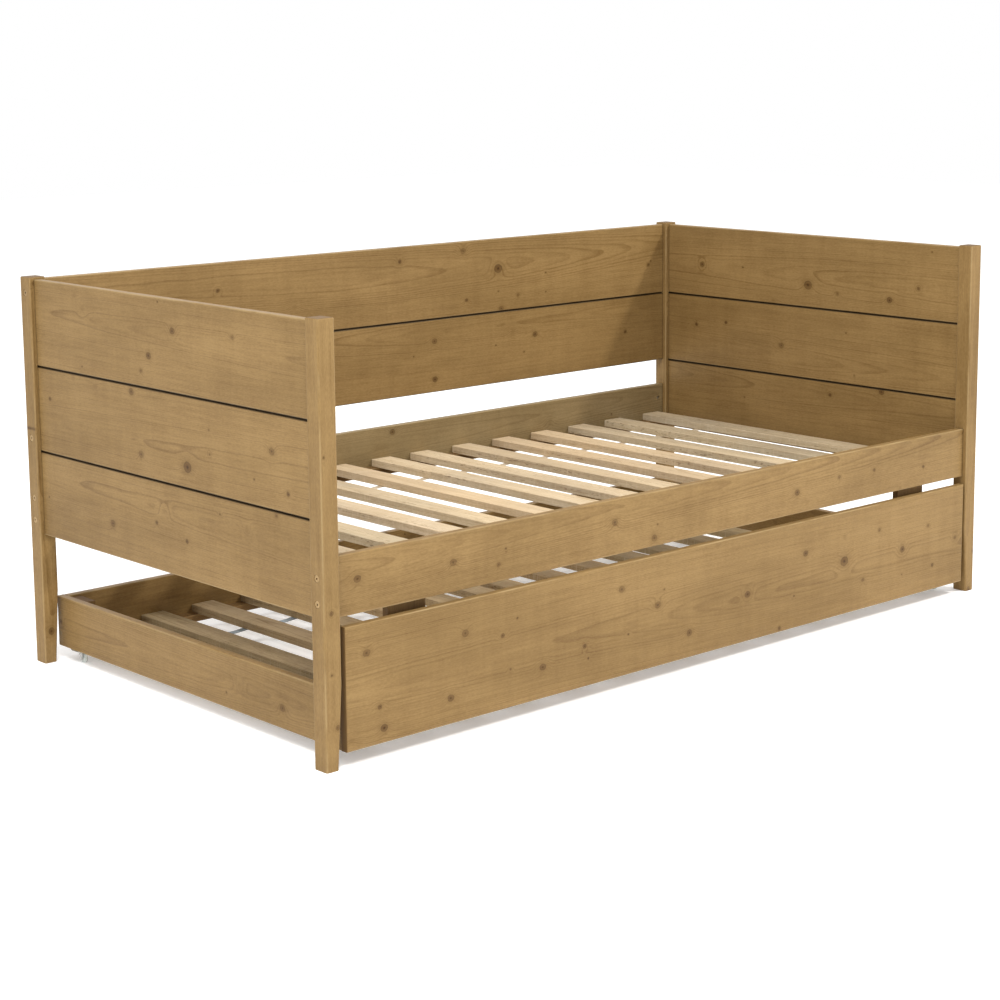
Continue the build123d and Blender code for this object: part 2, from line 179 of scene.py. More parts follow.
class Sheet:
    """One material's node tree, with short ways to add its nodes."""

    def __init__(self, name: str) -> None:
        """Make an empty material of that name."""
        self.material = bpy.data.materials.new(name)
        self.material.use_nodes = True
        self.tree = self.material.node_tree
        self.tree.nodes.clear()

    def node(
        self,
        kind: str,
        settings: Mapping[str, object] | None = None,
        inputs: Mapping[str | int, object] | None = None,
    ) -> bpy.types.Node:
        """Add any node.

        Args:
            kind: the node's type.
            settings: its properties, set before the inputs. "stops" fills a colour ramp.
            inputs: a value, a link or a number for each named or numbered input.

        Returns:
            The new node.
        """
        made = self.tree.nodes.new(kind)
        for key, setting in (settings or {}).items():
            if key == "stops":
                self._fill_ramp(made.color_ramp, setting)
            else:
                setattr(made, key, setting)
        for key, given in (inputs or {}).items():
            given = given.socket if isinstance(given, Value) else given
            if isinstance(given, bpy.types.NodeSocket):
                self.tree.links.new(given, made.inputs[key])
            else:
                made.inputs[key].default_value = given
        return made

    @staticmethod
    def _fill_ramp(ramp: bpy.types.ColorRamp, stops: Sequence[tuple[float, Colour]]) -> None:
        """Give a colour ramp its stops, as pairs of place and colour."""
        while len(ramp.elements) < len(stops):
            ramp.elements.new(1.0)
        for element, (place, colour) in zip(ramp.elements, stops):
            element.position = place
            element.color = (*colour, 1.0)

    def place(self) -> tuple[Value, Value, Value]:
        """The point's X, Y and Z in the object's own coordinates, in metres."""
        source = self.node("ShaderNodeTexCoord").outputs["Object"]
        parts = self.node("ShaderNodeSeparateXYZ", inputs={0: source})
        return tuple(Value(self, out) for out in parts.outputs)

    def facing(self) -> tuple[Value, Value, Value]:
        """The surface normal's X, Y and Z in the object's own coordinates."""
        source = self.node("ShaderNodeTexCoord").outputs["Normal"]
        parts = self.node("ShaderNodeSeparateXYZ", inputs={0: source})
        return tuple(Value(self, out) for out in parts.outputs)

    def vector(self, x: Value | float, y: Value | float, z: Value | float = 0.0) -> bpy.types.NodeSocket:
        """Join three values into a vector."""
        return self.node("ShaderNodeCombineXYZ", inputs={0: x, 1: y, 2: z}).outputs[0]

    def length(self, x: Value, y: Value) -> Value:
        """Distance from the origin of a point in the plane."""
        made = self.node("ShaderNodeVectorMath", {"operation": "LENGTH"}, {0: self.vector(x, y)})
        return Value(self, made.outputs["Value"])

    def noise(
        self, x: Value | float, y: Value | float, z: Value | float, detail: float = 2.0, rough: float = 0.5
    ) -> Value:
        """Smooth noise over three values that are already scaled.

        Args:
            x, y, z: where to read the noise, one unit to a cell.
            detail: how many finer layers are added.
            rough: the finer layers' share.

        Returns:
            A value from about 0 to 1, centred on 0.5.
        """
        inputs = {"Vector": self.vector(x, y, z), "Scale": 1.0, "Detail": detail, "Roughness": rough}
        return Value(self, self.node("ShaderNodeTexNoise", inputs=inputs).outputs[0])

    def chance(self, number: Value) -> Value:
        """A fixed random value from 0 to 1 for each whole number."""
        made = self.node("ShaderNodeTexWhiteNoise", {"noise_dimensions": "1D"}, {"W": number})
        return Value(self, made.outputs["Value"])

    def mix(
        self, amount: Value | float, a: object, b: object, blend: str = "MIX"
    ) -> bpy.types.NodeSocket:
        """Blend two colours.

        Args:
            amount: how much of b shows, from 0 to 1.
            a, b: colours or links.
            blend: the Mix node's blend type.

        Returns:
            The blended colour.
        """
        a, b = [(*c, 1.0) if isinstance(c, tuple) else c for c in (a, b)]
        settings = {"data_type": "RGBA", "blend_type": blend, "clamp_factor": True}
        return self.node("ShaderNodeMix", settings, {0: amount, 6: a, 7: b}).outputs[2]

    def bump(self, height: Value, distance: float, strength: float = 1.0) -> bpy.types.NodeSocket:
        """Turn a height from 0 to 1 into a normal, where 1 stands distance metres high."""
        inputs = {"Height": height, "Distance": distance, "Strength": strength}
        return self.node("ShaderNodeBump", inputs=inputs).outputs[0]

    def surface(self, inputs: Mapping[str | int, object]) -> bpy.types.Material:
        """Finish the material with a Principled shader and give it back."""
        shader = self.node("ShaderNodeBsdfPrincipled", inputs=inputs)
        self.node("ShaderNodeOutputMaterial", inputs={"Surface": shader.outputs[0]})
        return self.material


# --- Timber --------------------------------------------------------------------------------


class Axis(Enum):
    """The way a board's grain runs."""

    X = 0
    Y = 1
    Z = 2


class Knot(Enum):
    """Size of a knot: its radius in metres and how strongly it shows."""

    PIN = (0.0022, 1.0)
    SMALL = (0.0042, 1.0)
    MIDDLE = (0.0068, 1.0)
    LARGE = (0.0105, 1.0)
    GHOST = (0.0075, 0.25)


KnotPlan = Mapping[Knot, Sequence[tuple[float, float]]]


@dataclass(frozen=True)
class Timber:
    """The look of one kind of sawn pine."""

    early: Colour
    late: Colour
    blotch_dark: Colour
    blotch_light: Colour
    # The colour that edges are lightened to: partly wear, partly a painted highlight.
    edge_rub_and_highlight: Colour
    knot_core: Colour
    knot_rim: Colour
    end_grain: Colour
    ring_pitch: float = 0.0029
    ring_contrast: float = 0.5
    fibre: float = 0.2
    streak: float = 0.70
    pores: float = 0.85
    roughness: float = 0.52
    coat: float = 0.04
    bump: float = 0.00025
    # How strongly edges are lightened: partly wear, partly a painted highlight.
    edge_rub_highlight_share: float = 0.45


STAINED = Timber(
    early=(0.263, 0.166, 0.062),
    late=(0.129, 0.068, 0.0185),
    blotch_dark=(0.86, 0.84, 0.80),
    blotch_light=(1.08, 1.08, 1.10),
    edge_rub_and_highlight=(0.42, 0.31, 0.16),
    knot_core=(0.076, 0.033, 0.006),
    knot_rim=(0.034, 0.013, 0.002),
    end_grain=(0.11, 0.060, 0.022),
)
GREYED = replace(STAINED, early=(0.252, 0.182, 0.086), late=(0.136, 0.088, 0.036))
BATTEN = Timber(
    early=(0.190, 0.112, 0.042),
    late=(0.105, 0.056, 0.020),
    blotch_dark=(0.80, 0.78, 0.76),
    blotch_light=(1.10, 1.08, 1.04),
    edge_rub_and_highlight=(0.32, 0.20, 0.09),
    knot_core=(0.07, 0.034, 0.014),
    knot_rim=(0.04, 0.018, 0.008),
    end_grain=(0.12, 0.062, 0.024),
    ring_contrast=0.6,
    roughness=0.62,
    coat=0.0,
)
RAW = Timber(
    early=(0.550, 0.452, 0.318),
    late=(0.340, 0.245, 0.138),
    blotch_dark=(0.84, 0.84, 0.86),
    blotch_light=(1.12, 1.10, 1.06),
    edge_rub_and_highlight=(0.60, 0.46, 0.29),
    knot_core=(0.12, 0.055, 0.024),
    knot_rim=(0.06, 0.028, 0.012),
    end_grain=(0.36, 0.235, 0.12),
    ring_contrast=0.75,
    fibre=0.42,
    streak=1.15,
    roughness=0.82,
    coat=0.0,
    bump=0.0005,
    edge_rub_highlight_share=0.25,
)
# A darker copy of raw pine for the trundle's slats: partly their own browner tone, partly painted shade
# from the bed above them.
RAW_BROWNER_AND_SHADED = replace(RAW, early=(0.350, 0.265, 0.155), late=(0.205, 0.138, 0.066))


@dataclass
class Board:
    """A straight piece of timber: its grain, its growth rings and its knots.

    The rings are cylinders round a pith line that lies outside the board and runs at a slight
    slant to it, so the faces show long lines, arches where the slant cuts the rings, and the
    ends show arcs. A row of equal boards that share one material has a repeat, their pitch
    along X, which starts at repeat_from. Joints are the heights of grooves beside the board,
    and housings the distances from the middle at which it enters its posts.
    """

    node: str
    grain: Axis
    timber: Timber
    seed: int
    knots: KnotPlan = field(default_factory=dict)
    repeat: float = 0.0
    repeat_from: float = 0.0
    joints: Sequence[float] = ()
    housings: Sequence[float] = ()

    def __post_init__(self) -> None:
        """Read the board's place from its CAD node and pick its pith line."""
        low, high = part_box(self.node)
        self.centre = [(a + b) / 2 for a, b in zip(low, high)]
        self.half = [(b - a) / 2 for a, b in zip(low, high)]
        others = [axis for axis in range(3) if axis != self.grain.value]
        self.wide, self.thin = sorted(others, key=lambda axis: -round(self.half[axis], 4))
        if self.repeat:
            self.wide, self.thin = 0, 2
        draw = np.random.default_rng(self.seed)
        self.pith_wide = float(draw.uniform(-0.7, 0.7) * min(self.half[self.wide], 0.1))
        self.pith_thin = float(draw.choice([-1, 1]) * draw.uniform(0.035, 0.085))
        self.slant_wide = float(draw.uniform(-0.02, 0.02))
        self.slant_thin = float(draw.uniform(0.008, 0.022) * draw.choice([-1, 1]))
        if not self.knots:
            self.knots = self._scatter(draw)

    def _scatter(self, draw: np.random.Generator) -> KnotPlan:
        """Scatter knots over the board, more on a bigger one.

        Args:
            draw: the board's own random numbers.

        Returns:
            Places along and across the grain for each size of knot.
        """
        run, reach = self.half[self.grain.value], self.half[self.wide]
        area = 4 * run * reach
        plan: dict[Knot, list[tuple[float, float]]] = {}
        for size, density in ((Knot.PIN, 9), (Knot.SMALL, 9), (Knot.MIDDLE, 8), (Knot.GHOST, 5)):
            count = int(round(density * area + draw.uniform(0, 0.8)))
            plan[size] = [
                (
                    round(self.centre[self.grain.value] + float(draw.uniform(-run, run)), 3),
                    round(self.centre[self.wide] + float(draw.uniform(-reach, reach)), 3),
                )
                for _ in range(count)
            ]
        return plan

    def _nearest_knot(self, sheet: Sheet, along: Value, across: Value, ghosts: bool) -> Value | None:
        """Distance to the nearest knot's middle, counted in that knot's radii.

        Args:
            sheet: the material being made.
            along, across: the point on the board's face.
            ghosts: measure the faint knots instead of the strong ones.

        Returns:
            The distance, or None where the board has no such knots.
        """
        ripple = (sheet.noise(along * 95.0, across * 95.0, float(self.seed), 2.0) - 0.5) * 0.0035
        point = sheet.vector((along + ripple) * 0.85, across + ripple)
        nearest = None
        for size, places in self.knots.items():
            radius, strength = size.value
            if (strength < 1.0) != ghosts:
                continue
            for u, v in places:
                settings = {"operation": "DISTANCE"}
                gap = sheet.node("ShaderNodeVectorMath", settings, {0: point, 1: (u * 0.85, v, 0.0)})
                gap = Value(sheet, gap.outputs["Value"]) * (1.0 / radius)
                nearest = gap if nearest is None else nearest.least(gap)
        return nearest

    def material(self) -> bpy.types.Material:
        """Make the board's material.

        Returns:
            A material whose rings, fibres, blotches, knots, edges lightened by wear and a painted
            highlight, and end grain all follow the board's own place in the bed.
        """
        timber = self.timber
        sheet = Sheet(f"pine_{self.node}")
        place, facing = sheet.place(), sheet.facing()
        along, across, deep = place[self.grain.value], place[self.wide], place[self.thin]
        shift: Value | float = self.seed * 3.71
        lot: Value | float = 0.5
        middle: Value | float = self.centre[self.wide]
        if self.repeat:
            number = ((across - self.repeat_from) / self.repeat).floor()
            lot = sheet.chance(number + float(self.seed))
            shift = lot * 40.0
            middle = (number + 0.5) * self.repeat + self.repeat_from

        near = self._nearest_knot(sheet, along, across, ghosts=False)
        faint = self._nearest_knot(sheet, along, across, ghosts=True)
        sway = (sheet.noise(along * 0.75 + shift, across * 1.5, deep * 1.5, 1.0) - 0.5) * 0.045
        ripple = (sheet.noise(along * 7.0 + shift, across * 22.0, deep * 22.0, 2.0) - 0.5) * 0.0028
        swirl: Value | float = 0.0
        if near is not None:
            swirl = (near * 0.42).bell() * 0.009
        if faint is not None:
            swirl = swirl + (faint * 0.42).bell() * 0.007

        side = across - middle + along * self.slant_wide + sway - self.pith_wide
        if self.repeat:
            side = side + (lot - 0.5) * 0.09
        depth = deep - (self.centre[self.thin] + self.pith_thin) + along * self.slant_thin + sway * 0.7
        rings = (sheet.length(side, depth) + ripple + swirl) / timber.ring_pitch
        luck = sheet.chance(rings.floor() + float(self.seed))
        part = rings.fraction()
        late = part.rise(0.45, 0.90) * part.rise(1.0, 0.94) * (luck * luck * 0.8 + 0.2)

        fibre = sheet.noise(along * 11.0 + shift, across * 620.0, deep * 620.0, 3.0, 0.6)
        broad = sheet.noise(along * 1.7 + shift, across * 6.0, deep * 6.0, 3.0, 0.55)
        cloud = sheet.noise(along * 6.5 + shift, across * 16.0, deep * 16.0, 3.0, 0.6)
        wiped = sheet.noise(along * 30.0 + shift, across * 3.5, deep * 3.5, 2.0, 0.6)
        streak = sheet.noise(along * 8.0 + shift, across * 165.0, deep * 165.0, 3.0, 0.65)
        pores = sheet.noise(along * 130.0 + shift, across * 420.0, deep * 420.0, 2.0, 0.6)

        tone = late * timber.ring_contrast + (fibre - 0.5) * timber.fibre * 2.0
        tone = tone + (streak - 0.5) * timber.streak + (pores - 0.5) * timber.pores
        tone = tone + (cloud - 0.5) * 0.40 + (wiped - 0.5) * 0.34
        colour = sheet.mix((tone + 0.20).most(0.0).least(1.0), timber.early, timber.late)
        tint = sheet.mix(broad.rise(0.30, 0.70), timber.blotch_dark, timber.blotch_light)
        colour = sheet.mix(1.0, colour, tint, "MULTIPLY")
        if self.repeat:
            colour = self._slat_variety(sheet, colour, lot, along, across, deep, shift)
        colour = self._lay_knots(sheet, colour, near, faint, cloud.rise(0.30, 0.62) * 0.5 + 0.5)

        # Edges are lightened: partly wear, partly a painted highlight along the rounded edges.
        edge = (self.half[self.wide] - abs(across - middle)).most(
            self.half[self.thin] - abs(deep - self.centre[self.thin])
        )
        if self.repeat:
            edge = self.half[self.thin] - abs(deep - self.centre[self.thin])
        edge_rub_and_highlight = edge.rise(*EDGE_RUB_HIGHLIGHT) * cloud.rise(0.32, 0.60) * timber.edge_rub_highlight_share
        colour = sheet.mix(edge_rub_and_highlight, colour, timber.edge_rub_and_highlight)
        # Painted shade and stain in the grooves, and a painted shadow where the board meets its posts.
        colour = self._shade_and_stain_joints(sheet, colour, along, across)
        ends = abs(facing[self.grain.value]).rise(0.55, 0.9)
        end_colour = sheet.mix(late, timber.end_grain, timber.late)
        colour = sheet.mix(ends * 0.75, colour, end_colour)

        rough = late * -0.08 + (fibre - 0.5) * 0.22 + ends * 0.12 + timber.roughness
        height = late * -0.35 + fibre * 0.45 + cloud * 0.2
        return sheet.surface(
            {
                "Base Color": colour,
                "Roughness": rough,
                "Specular IOR Level": 0.16,
                "Coat Weight": timber.coat,
                "Coat Roughness": 0.32,
                "Normal": sheet.bump(height, timber.bump, 0.7),
            }
        )

    def _shade_and_stain_joints(
        self, sheet: Sheet, colour: bpy.types.NodeSocket, along: Value, across: Value
    ) -> bpy.types.NodeSocket:
        """Darken the grooves between planks with painted shade and stain, and paint a shadow along the
        lines where a board enters a post.

        Args:
            sheet, colour: the material being made and its colour so far.
            along, across: the point on the board's face.

        Returns:
            The colour with painted shade and stain in its grooves, and a painted shadow at its posts.
        """
        # Painted shade, with stain: each groove between planks is darkened almost to black.
        for level in self.joints:
            groove_shade_and_stain = abs(across - level).rise(*GROOVE_SHADE_AND_STAIN)
            colour = sheet.mix(groove_shade_and_stain * 0.88, colour, (0.024, 0.013, 0.004))
        # Painted shadow: a dark line where the board enters its post.
        for level in self.housings:
            line = abs(abs(along) - level).rise(*POST_SHADOW_LINE)
            colour = sheet.mix(line * 0.5, colour, (0.06, 0.032, 0.012))
        return colour

    @staticmethod
    def _slat_variety(
        sheet: Sheet,
        colour: bpy.types.NodeSocket,
        lot: Value,
        along: Value,
        across: Value,
        deep: Value,
        shift: Value,
    ) -> bpy.types.NodeSocket:
        """Give each slat its own cast of colour, and the dark flecks and saw marks of raw timber.

        Args:
            sheet, colour: the material being made and its colour so far.
            lot: the slat's own random value.
            along, across, deep, shift: the point on the slat, and its place in the noise.

        Returns:
            The varied colour.
        """
        casts = [
            (0.0, (0.92, 0.90, 0.86)),
            (0.25, (1.06, 1.05, 1.02)),
            (0.5, (1.02, 0.95, 0.86)),
            (0.75, (0.95, 0.97, 0.95)),
            (1.0, (1.10, 1.08, 1.06)),
        ]
        cast = sheet.node("ShaderNodeValToRGB", {"stops": casts}, {0: (lot * 7.3).fraction()})
        colour = sheet.mix(1.0, colour, cast.outputs[0], "MULTIPLY")
        flecks = sheet.noise(along * 60.0 + shift, across * 380.0, deep * 380.0, 1.0)
        rows = sheet.noise(along * 1.5 + shift, across * 75.0, deep * 75.0, 1.0)
        torn = flecks.rise(0.60, 0.68) * rows.rise(0.46, 0.60)
        colour = sheet.mix(torn * 0.62, colour, (0.13, 0.075, 0.035))
        saw = sheet.noise(along * 240.0 + shift, across * 14.0, deep * 14.0, 1.0)
        return sheet.mix(saw.rise(0.55, 0.75) * 0.12, colour, (0.82, 0.70, 0.52))

    def _lay_knots(
        self,
        sheet: Sheet,
        colour: bpy.types.NodeSocket,
        near: Value | None,
        faint: Value | None,
        strength: Value,
    ) -> bpy.types.NodeSocket:
        """Colour the knots: a reddish halo, a brown disc, a darker rim and a dark heart.

        Args:
            sheet, colour: the material being made and its colour so far.
            near, faint: distances to the strong and the faint knots, in radii.
            strength: how strongly the knots show here.

        Returns:
            The colour with its knots.
        """
        timber = self.timber
        if faint is not None:
            colour = sheet.mix(faint.rise(1.3, 0.3) * 0.28, colour, timber.late)
        if near is None:
            return colour
        colour = sheet.mix(near.rise(2.6, 0.9) * 0.25, colour, timber.late)
        colour = sheet.mix(near.rise(1.12, 0.60) * strength * 0.7, colour, timber.knot_core)
        rim = near.rise(0.70, 0.95) * near.rise(1.25, 1.0)
        colour = sheet.mix(rim * strength * 0.5, colour, timber.knot_rim)
        return sheet.mix(near.rise(0.50, 0.12) * strength * 0.8, colour, timber.knot_rim)


LEFT_END: KnotPlan = {
    Knot.PIN: (
        (0.01, 0.856), (0.31, 0.692), (-0.16, 0.614), (-0.16, 0.565), (-0.31, 0.536),
        (-0.19, 0.448), (0.47, 0.385),
    ),
    Knot.SMALL: (
        (0.08, 0.708), (-0.25, 0.808), (0.45, 0.607), (-0.42, 0.523), (-0.38, 0.475),
        (0.04, 0.395), (-0.07, 0.373),
    ),
    Knot.MIDDLE: (
        (-0.04, 0.801), (0.05, 0.742), (0.12, 0.66), (0.09, 0.532), (-0.37, 0.599), (0.21, 0.366),
    ),
    Knot.LARGE: ((-0.08, 0.528),),
    Knot.GHOST: (
        (0.33, 0.844), (0.30, 0.818), (0.35, 0.665), (0.26, 0.655), (0.01, 0.422), (-0.28, 0.43),
    ),
}
RIGHT_END: KnotPlan = {
    Knot.PIN: ((0.22, 0.764), (-0.41, 0.846), (-0.14, 0.618), (-0.17, 0.509), (0.21, 0.409)),
    Knot.SMALL: ((-0.11, 0.718), (-0.37, 0.752), (0.39, 0.593), (0.28, 0.608), (-0.09, 0.449)),
    Knot.MIDDLE: ((0.37, 0.762), (-0.28, 0.715), (0.08, 0.564), (-0.26, 0.476)),
    Knot.LARGE: ((-0.01, 0.733),),
    Knot.GHOST: ((0.11, 0.683),),
}
BACK: KnotPlan = {
    Knot.PIN: (
        (0.36, 0.727), (0.53, 0.764), (0.53, 0.713), (0.93, 0.766), (0.35, 0.586), (0.07, 0.584),
        (0.45, 0.559),
    ),
    Knot.SMALL: (
        (0.03, 0.828), (0.43, 0.712), (0.25, 0.713), (0.92, 0.756), (0.83, 0.577), (-0.52, 0.80),
    ),
    Knot.MIDDLE: (
        (0.24, 0.841), (0.37, 0.681), (0.49, 0.602), (0.14, 0.617), (0.14, 0.518), (-0.71, 0.59),
    ),
    Knot.LARGE: ((0.36, 0.787),),
    Knot.GHOST: ((0.41, 0.614), (-0.30, 0.74)),
}
FRONT_RAIL: KnotPlan = {
    Knot.PIN: ((-0.55, 0.36), (-0.11, 0.342)),
    Knot.SMALL: ((-0.57, 0.33), (0.50, 0.36), (0.63, 0.359), (0.82, 0.341)),
    Knot.MIDDLE: ((-0.93, 0.363), (-0.69, 0.355), (-0.24, 0.366), (-0.12, 0.313), (0.35, 0.345)),
    Knot.GHOST: ((0.73, 0.299),),
}
TRUNDLE_FRONT: KnotPlan = {
    Knot.PIN: (
        (-0.53, 0.214), (-0.33, 0.089), (-0.55, 0.11), (-0.21, 0.119), (0.73, 0.089), (-0.10, 0.198),
        (0.33, 0.106),
    ),
    Knot.SMALL: (
        (-0.57, 0.185), (-0.34, 0.118), (-0.89, 0.104), (0.64, 0.213), (0.83, 0.194), (0.94, 0.147),
        (0.85, 0.092), (0.58, 0.101), (0.28, 0.039),
    ),
    Knot.MIDDLE: (
        (-0.92, 0.218), (-0.67, 0.209), (-0.23, 0.221), (-0.12, 0.167), (-0.46, 0.097), (-0.71, 0.084),
        (-0.88, 0.06), (0.37, 0.20), (0.73, 0.151), (0.17, 0.139), (-0.02, 0.086),
    ),
    Knot.LARGE: ((0.51, 0.158),),
    Knot.GHOST: ((-0.96, 0.052), (0.07, 0.269), (0.51, 0.216)),
}
FRONT_LEFT_POST: KnotPlan = {
    Knot.PIN: ((0.61, -1.012), (0.19, -1.004)),
    Knot.SMALL: ((0.31, -1.002), (0.085, -0.993)),
}
CLEAR: KnotPlan = {Knot.PIN: ()}


def knots_between(plan: KnotPlan, low: float, high: float) -> KnotPlan:
    """The knots of a panel that touch one of its planks.

    Args:
        plan: the whole panel's knots.
        low, high: the plank's lowest and highest points.

    Returns:
        The plank's own knots.
    """
    return {
        size: [(u, v) for u, v in places if low - 0.01 < v < high + 0.01]
        for size, places in plan.items()
    }


def put_finish(made: bpy.types.Object, material: bpy.types.Material) -> None:
    """Put one material on a CAD node's object in place of what it came with."""
    slots = made.data.materials
    slots.clear()
    slots.append(material)


@dataclass
class Joinery:
    """Every piece of timber in the frame and the trundle, with its finish."""

    nodes: Mapping[str, bpy.types.Object]
    slat_pitch: float = 0.1395
    slat_first: float = -0.9550
    trundle_pitch: float = 0.1345
    trundle_first: float = -0.9280
    plank_joints: tuple[float, float] = (0.4835, 0.6735)
    post_inner_x: float = 0.980
    post_inner_y: float = 0.498

    def boards(self) -> list[Board]:
        """List every board with its grain, its finish and its knots."""
        made = []
        for number, post in enumerate(("front_left", "front_right", "rear_left", "rear_right")):
            knots = FRONT_LEFT_POST if number == 0 else {}
            made.append(Board(f"post_{post}", Axis.Z, STAINED, 11 + number, knots))
        for side, plan, seed in (("left", LEFT_END, 21), ("right", RIGHT_END, 31)):
            for step, level in enumerate(("bottom", "middle", "top")):
                node = f"{side}_plank_{level}"
                low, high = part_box(node)
                knots = knots_between(plan, low.z, high.z)
                made.append(
                    Board(
                        node, Axis.Y, STAINED, seed + step, knots,
                        joints=self.plank_joints, housings=(self.post_inner_y,),
                    )
                )
        for step, level in enumerate(("bottom", "top")):
            node = f"back_plank_{level}"
            low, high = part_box(node)
            knots = knots_between(BACK, low.z, high.z)
            made.append(
                Board(
                    node, Axis.X, STAINED, 41 + step, knots,
                    joints=self.plank_joints, housings=(self.post_inner_x,),
                )
            )
        rails = (self.post_inner_x,)
        made.append(Board("front_rail", Axis.X, STAINED, 51, FRONT_RAIL, housings=rails))
        made.append(Board("rear_rail", Axis.X, GREYED, 52, housings=rails))
        made.append(Board("trundle_front_panel", Axis.X, STAINED, 61, TRUNDLE_FRONT))
        made.append(Board("trundle_rear_rail", Axis.X, STAINED, 62))
        made.append(Board("trundle_left_rail", Axis.Y, STAINED, 63))
        made.append(Board("trundle_right_rail", Axis.Y, STAINED, 64))
        for number, node in enumerate(
            ("front_ledger", "rear_ledger", "trundle_front_ledger", "trundle_rear_ledger")
        ):
            made.append(Board(node, Axis.X, BATTEN, 71 + number))
        for number, node in enumerate(("stop_block_left", "stop_block_right", "corner_blocks")):
            made.append(Board(node, Axis.Z, BATTEN, 81 + number, CLEAR))
        return made

    def dress(self) -> None:
        """Give each board its own material, and the slats one that changes from slat to slat."""
        for board in self.boards():
            put_finish(self.nodes[board.node], board.material())
            LOG.info("timber: %s", board.node)
        upper = Board("slat_07", Axis.Y, RAW, 91, CLEAR, self.slat_pitch, self.slat_first)
        finish = upper.material()
        for number in range(1, SLAT_COUNT + 1):
            put_finish(self.nodes[f"slat_{number:02d}"], finish)
        # The trundle's slats take the darker raw pine: partly their browner tone, partly painted shade
        # from the bed above.
        lower = Board(
            "trundle_slats", Axis.Y, RAW_BROWNER_AND_SHADED, 92, CLEAR, self.trundle_pitch, self.trundle_first
        )
        put_finish(self.nodes["trundle_slats"], lower.material())
        LOG.info("timber: slats of both decks")


# --- Metal, plastic and webbing ------------------------------------------------------------


@dataclass(frozen=True)
class Metal:
    """A plated or bare metal, with a fine mottle and dull patches."""

    name: str
    bright: Colour
    dull: Colour
    roughness: float
    metallic: float = 1.0

    def material(self) -> bpy.types.Material:
        """Make the metal: mottled colour, patchy roughness and fine tool marks."""
        sheet = Sheet(self.name)
        x, y, z = sheet.place()
        mottle = sheet.noise(x * 260.0, y * 260.0, z * 260.0, 3.0, 0.6)
        patch = sheet.noise(x * 70.0, y * 70.0, z * 70.0, 2.0)
        marks = sheet.noise(x * 900.0, y * 2600.0, z * 2600.0, 1.0)
        colour = sheet.mix((mottle * 0.6 + patch * 0.5 - 0.1).least(1.0), self.bright, self.dull)
        rough = patch * 0.25 + mottle * 0.15 + (self.roughness - 0.2)
        return sheet.surface(
            {
                "Base Color": colour,
                "Metallic": self.metallic,
                "Roughness": rough,
                "Normal": sheet.bump(marks * 0.5 + mottle * 0.5, 0.00004, 0.5),
            }
        )


@dataclass(frozen=True)
class Moulding:
    """Moulded plastic with a fine spark texture and scuffed high spots."""

    name: str
    colour: Colour
    scuffed: Colour
    roughness: float

    def material(self) -> bpy.types.Material:
        """Make the plastic: even colour, grime in patches and a pebbled skin."""
        sheet = Sheet(self.name)
        x, y, z = sheet.place()
        pebble = sheet.noise(x * 1900.0, y * 1900.0, z * 1900.0, 1.0)
        grime = sheet.noise(x * 130.0, y * 130.0, z * 130.0, 3.0, 0.6)
        colour = sheet.mix(grime.rise(0.45, 0.75) * 0.6, self.colour, self.scuffed)
        return sheet.surface(
            {
                "Base Color": colour,
                "Roughness": grime * 0.2 + (self.roughness - 0.1),
                "Normal": sheet.bump(pebble, 0.00003, 0.6),
            }
        )


@dataclass(frozen=True)
class Webbing:
    """Woven tape: ribs of warp along the tape, crossed by weft, with a bound edge."""

    name: str
    warp: Colour
    weft: Colour
    rib: float = 0.0016
    pick: float = 0.0022

    def material(self, middles: Sequence[float], half_width: float) -> bpy.types.Material:
        """Make the weave.

        Args:
            middles: the Y of each tape's middle.
            half_width: half of a tape's width.

        Returns:
            A material whose threads follow the tape along X.
        """
        sheet = Sheet(self.name)
        x, y, z = sheet.place()
        over = (x * (2 * math.pi / self.pick)).sine()
        row = (y * (2 * math.pi / self.rib)).sine()
        weave = over * row * 0.5 + 0.5
        fuzz = sheet.noise(x * 900.0, y * 2400.0, z * 900.0, 2.0)
        soil = sheet.noise(x * 9.0, y * 60.0, z * 30.0, 3.0, 0.6)
        edge: Value | float = 0.0
        for middle in middles:
            off = abs(y - middle)
            bound = (off - (half_width - 0.002)).rise(0.0, 0.0012)
            edge = bound * off.rise(half_width + 0.002, half_width + 0.001) + edge
        colour = sheet.mix(weave, self.warp, self.weft)
        colour = sheet.mix(edge * 0.5, colour, self.weft)
        colour = sheet.mix(soil.rise(0.45, 0.8) * 0.35, colour, (0.20, 0.17, 0.13))
        colour = sheet.mix((fuzz - 0.4).most(0.0) * 0.5, colour, (0.75, 0.72, 0.66))
        return sheet.surface(
            {
                "Base Color": colour,
                "Roughness": fuzz * 0.15 + 0.78,
                "Specular IOR Level": 0.2,
                "Normal": sheet.bump(weave * 0.8 + fuzz * 0.2, 0.0003, 0.8),
            }
        )


BRONZE = Metal("bolt_bronze", (0.56, 0.39, 0.19), (0.17, 0.10, 0.045), 0.38)
ZINC = Metal("dull_zinc", (0.62, 0.62, 0.60), (0.36, 0.36, 0.35), 0.40)
PASSIVATED = Metal("yellow_zinc", (0.34, 0.25, 0.12), (0.12, 0.08, 0.035), 0.42)
STAPLE_WIRE = Metal("staple_wire", (0.66, 0.65, 0.62), (0.42, 0.41, 0.39), 0.35)
TREAD = Moulding("wheel_plastic", (0.60, 0.64, 0.61), (0.36, 0.37, 0.34), 0.48)
TAN_TAPE = Webbing("tape_tan", (0.66, 0.55, 0.40), (0.52, 0.42, 0.29))
GREY_TAPE = Webbing("tape_grey", (0.36, 0.43, 0.49), (0.24, 0.30, 0.35))


# --- Meshes from grids ---------------------------------------------------------------------


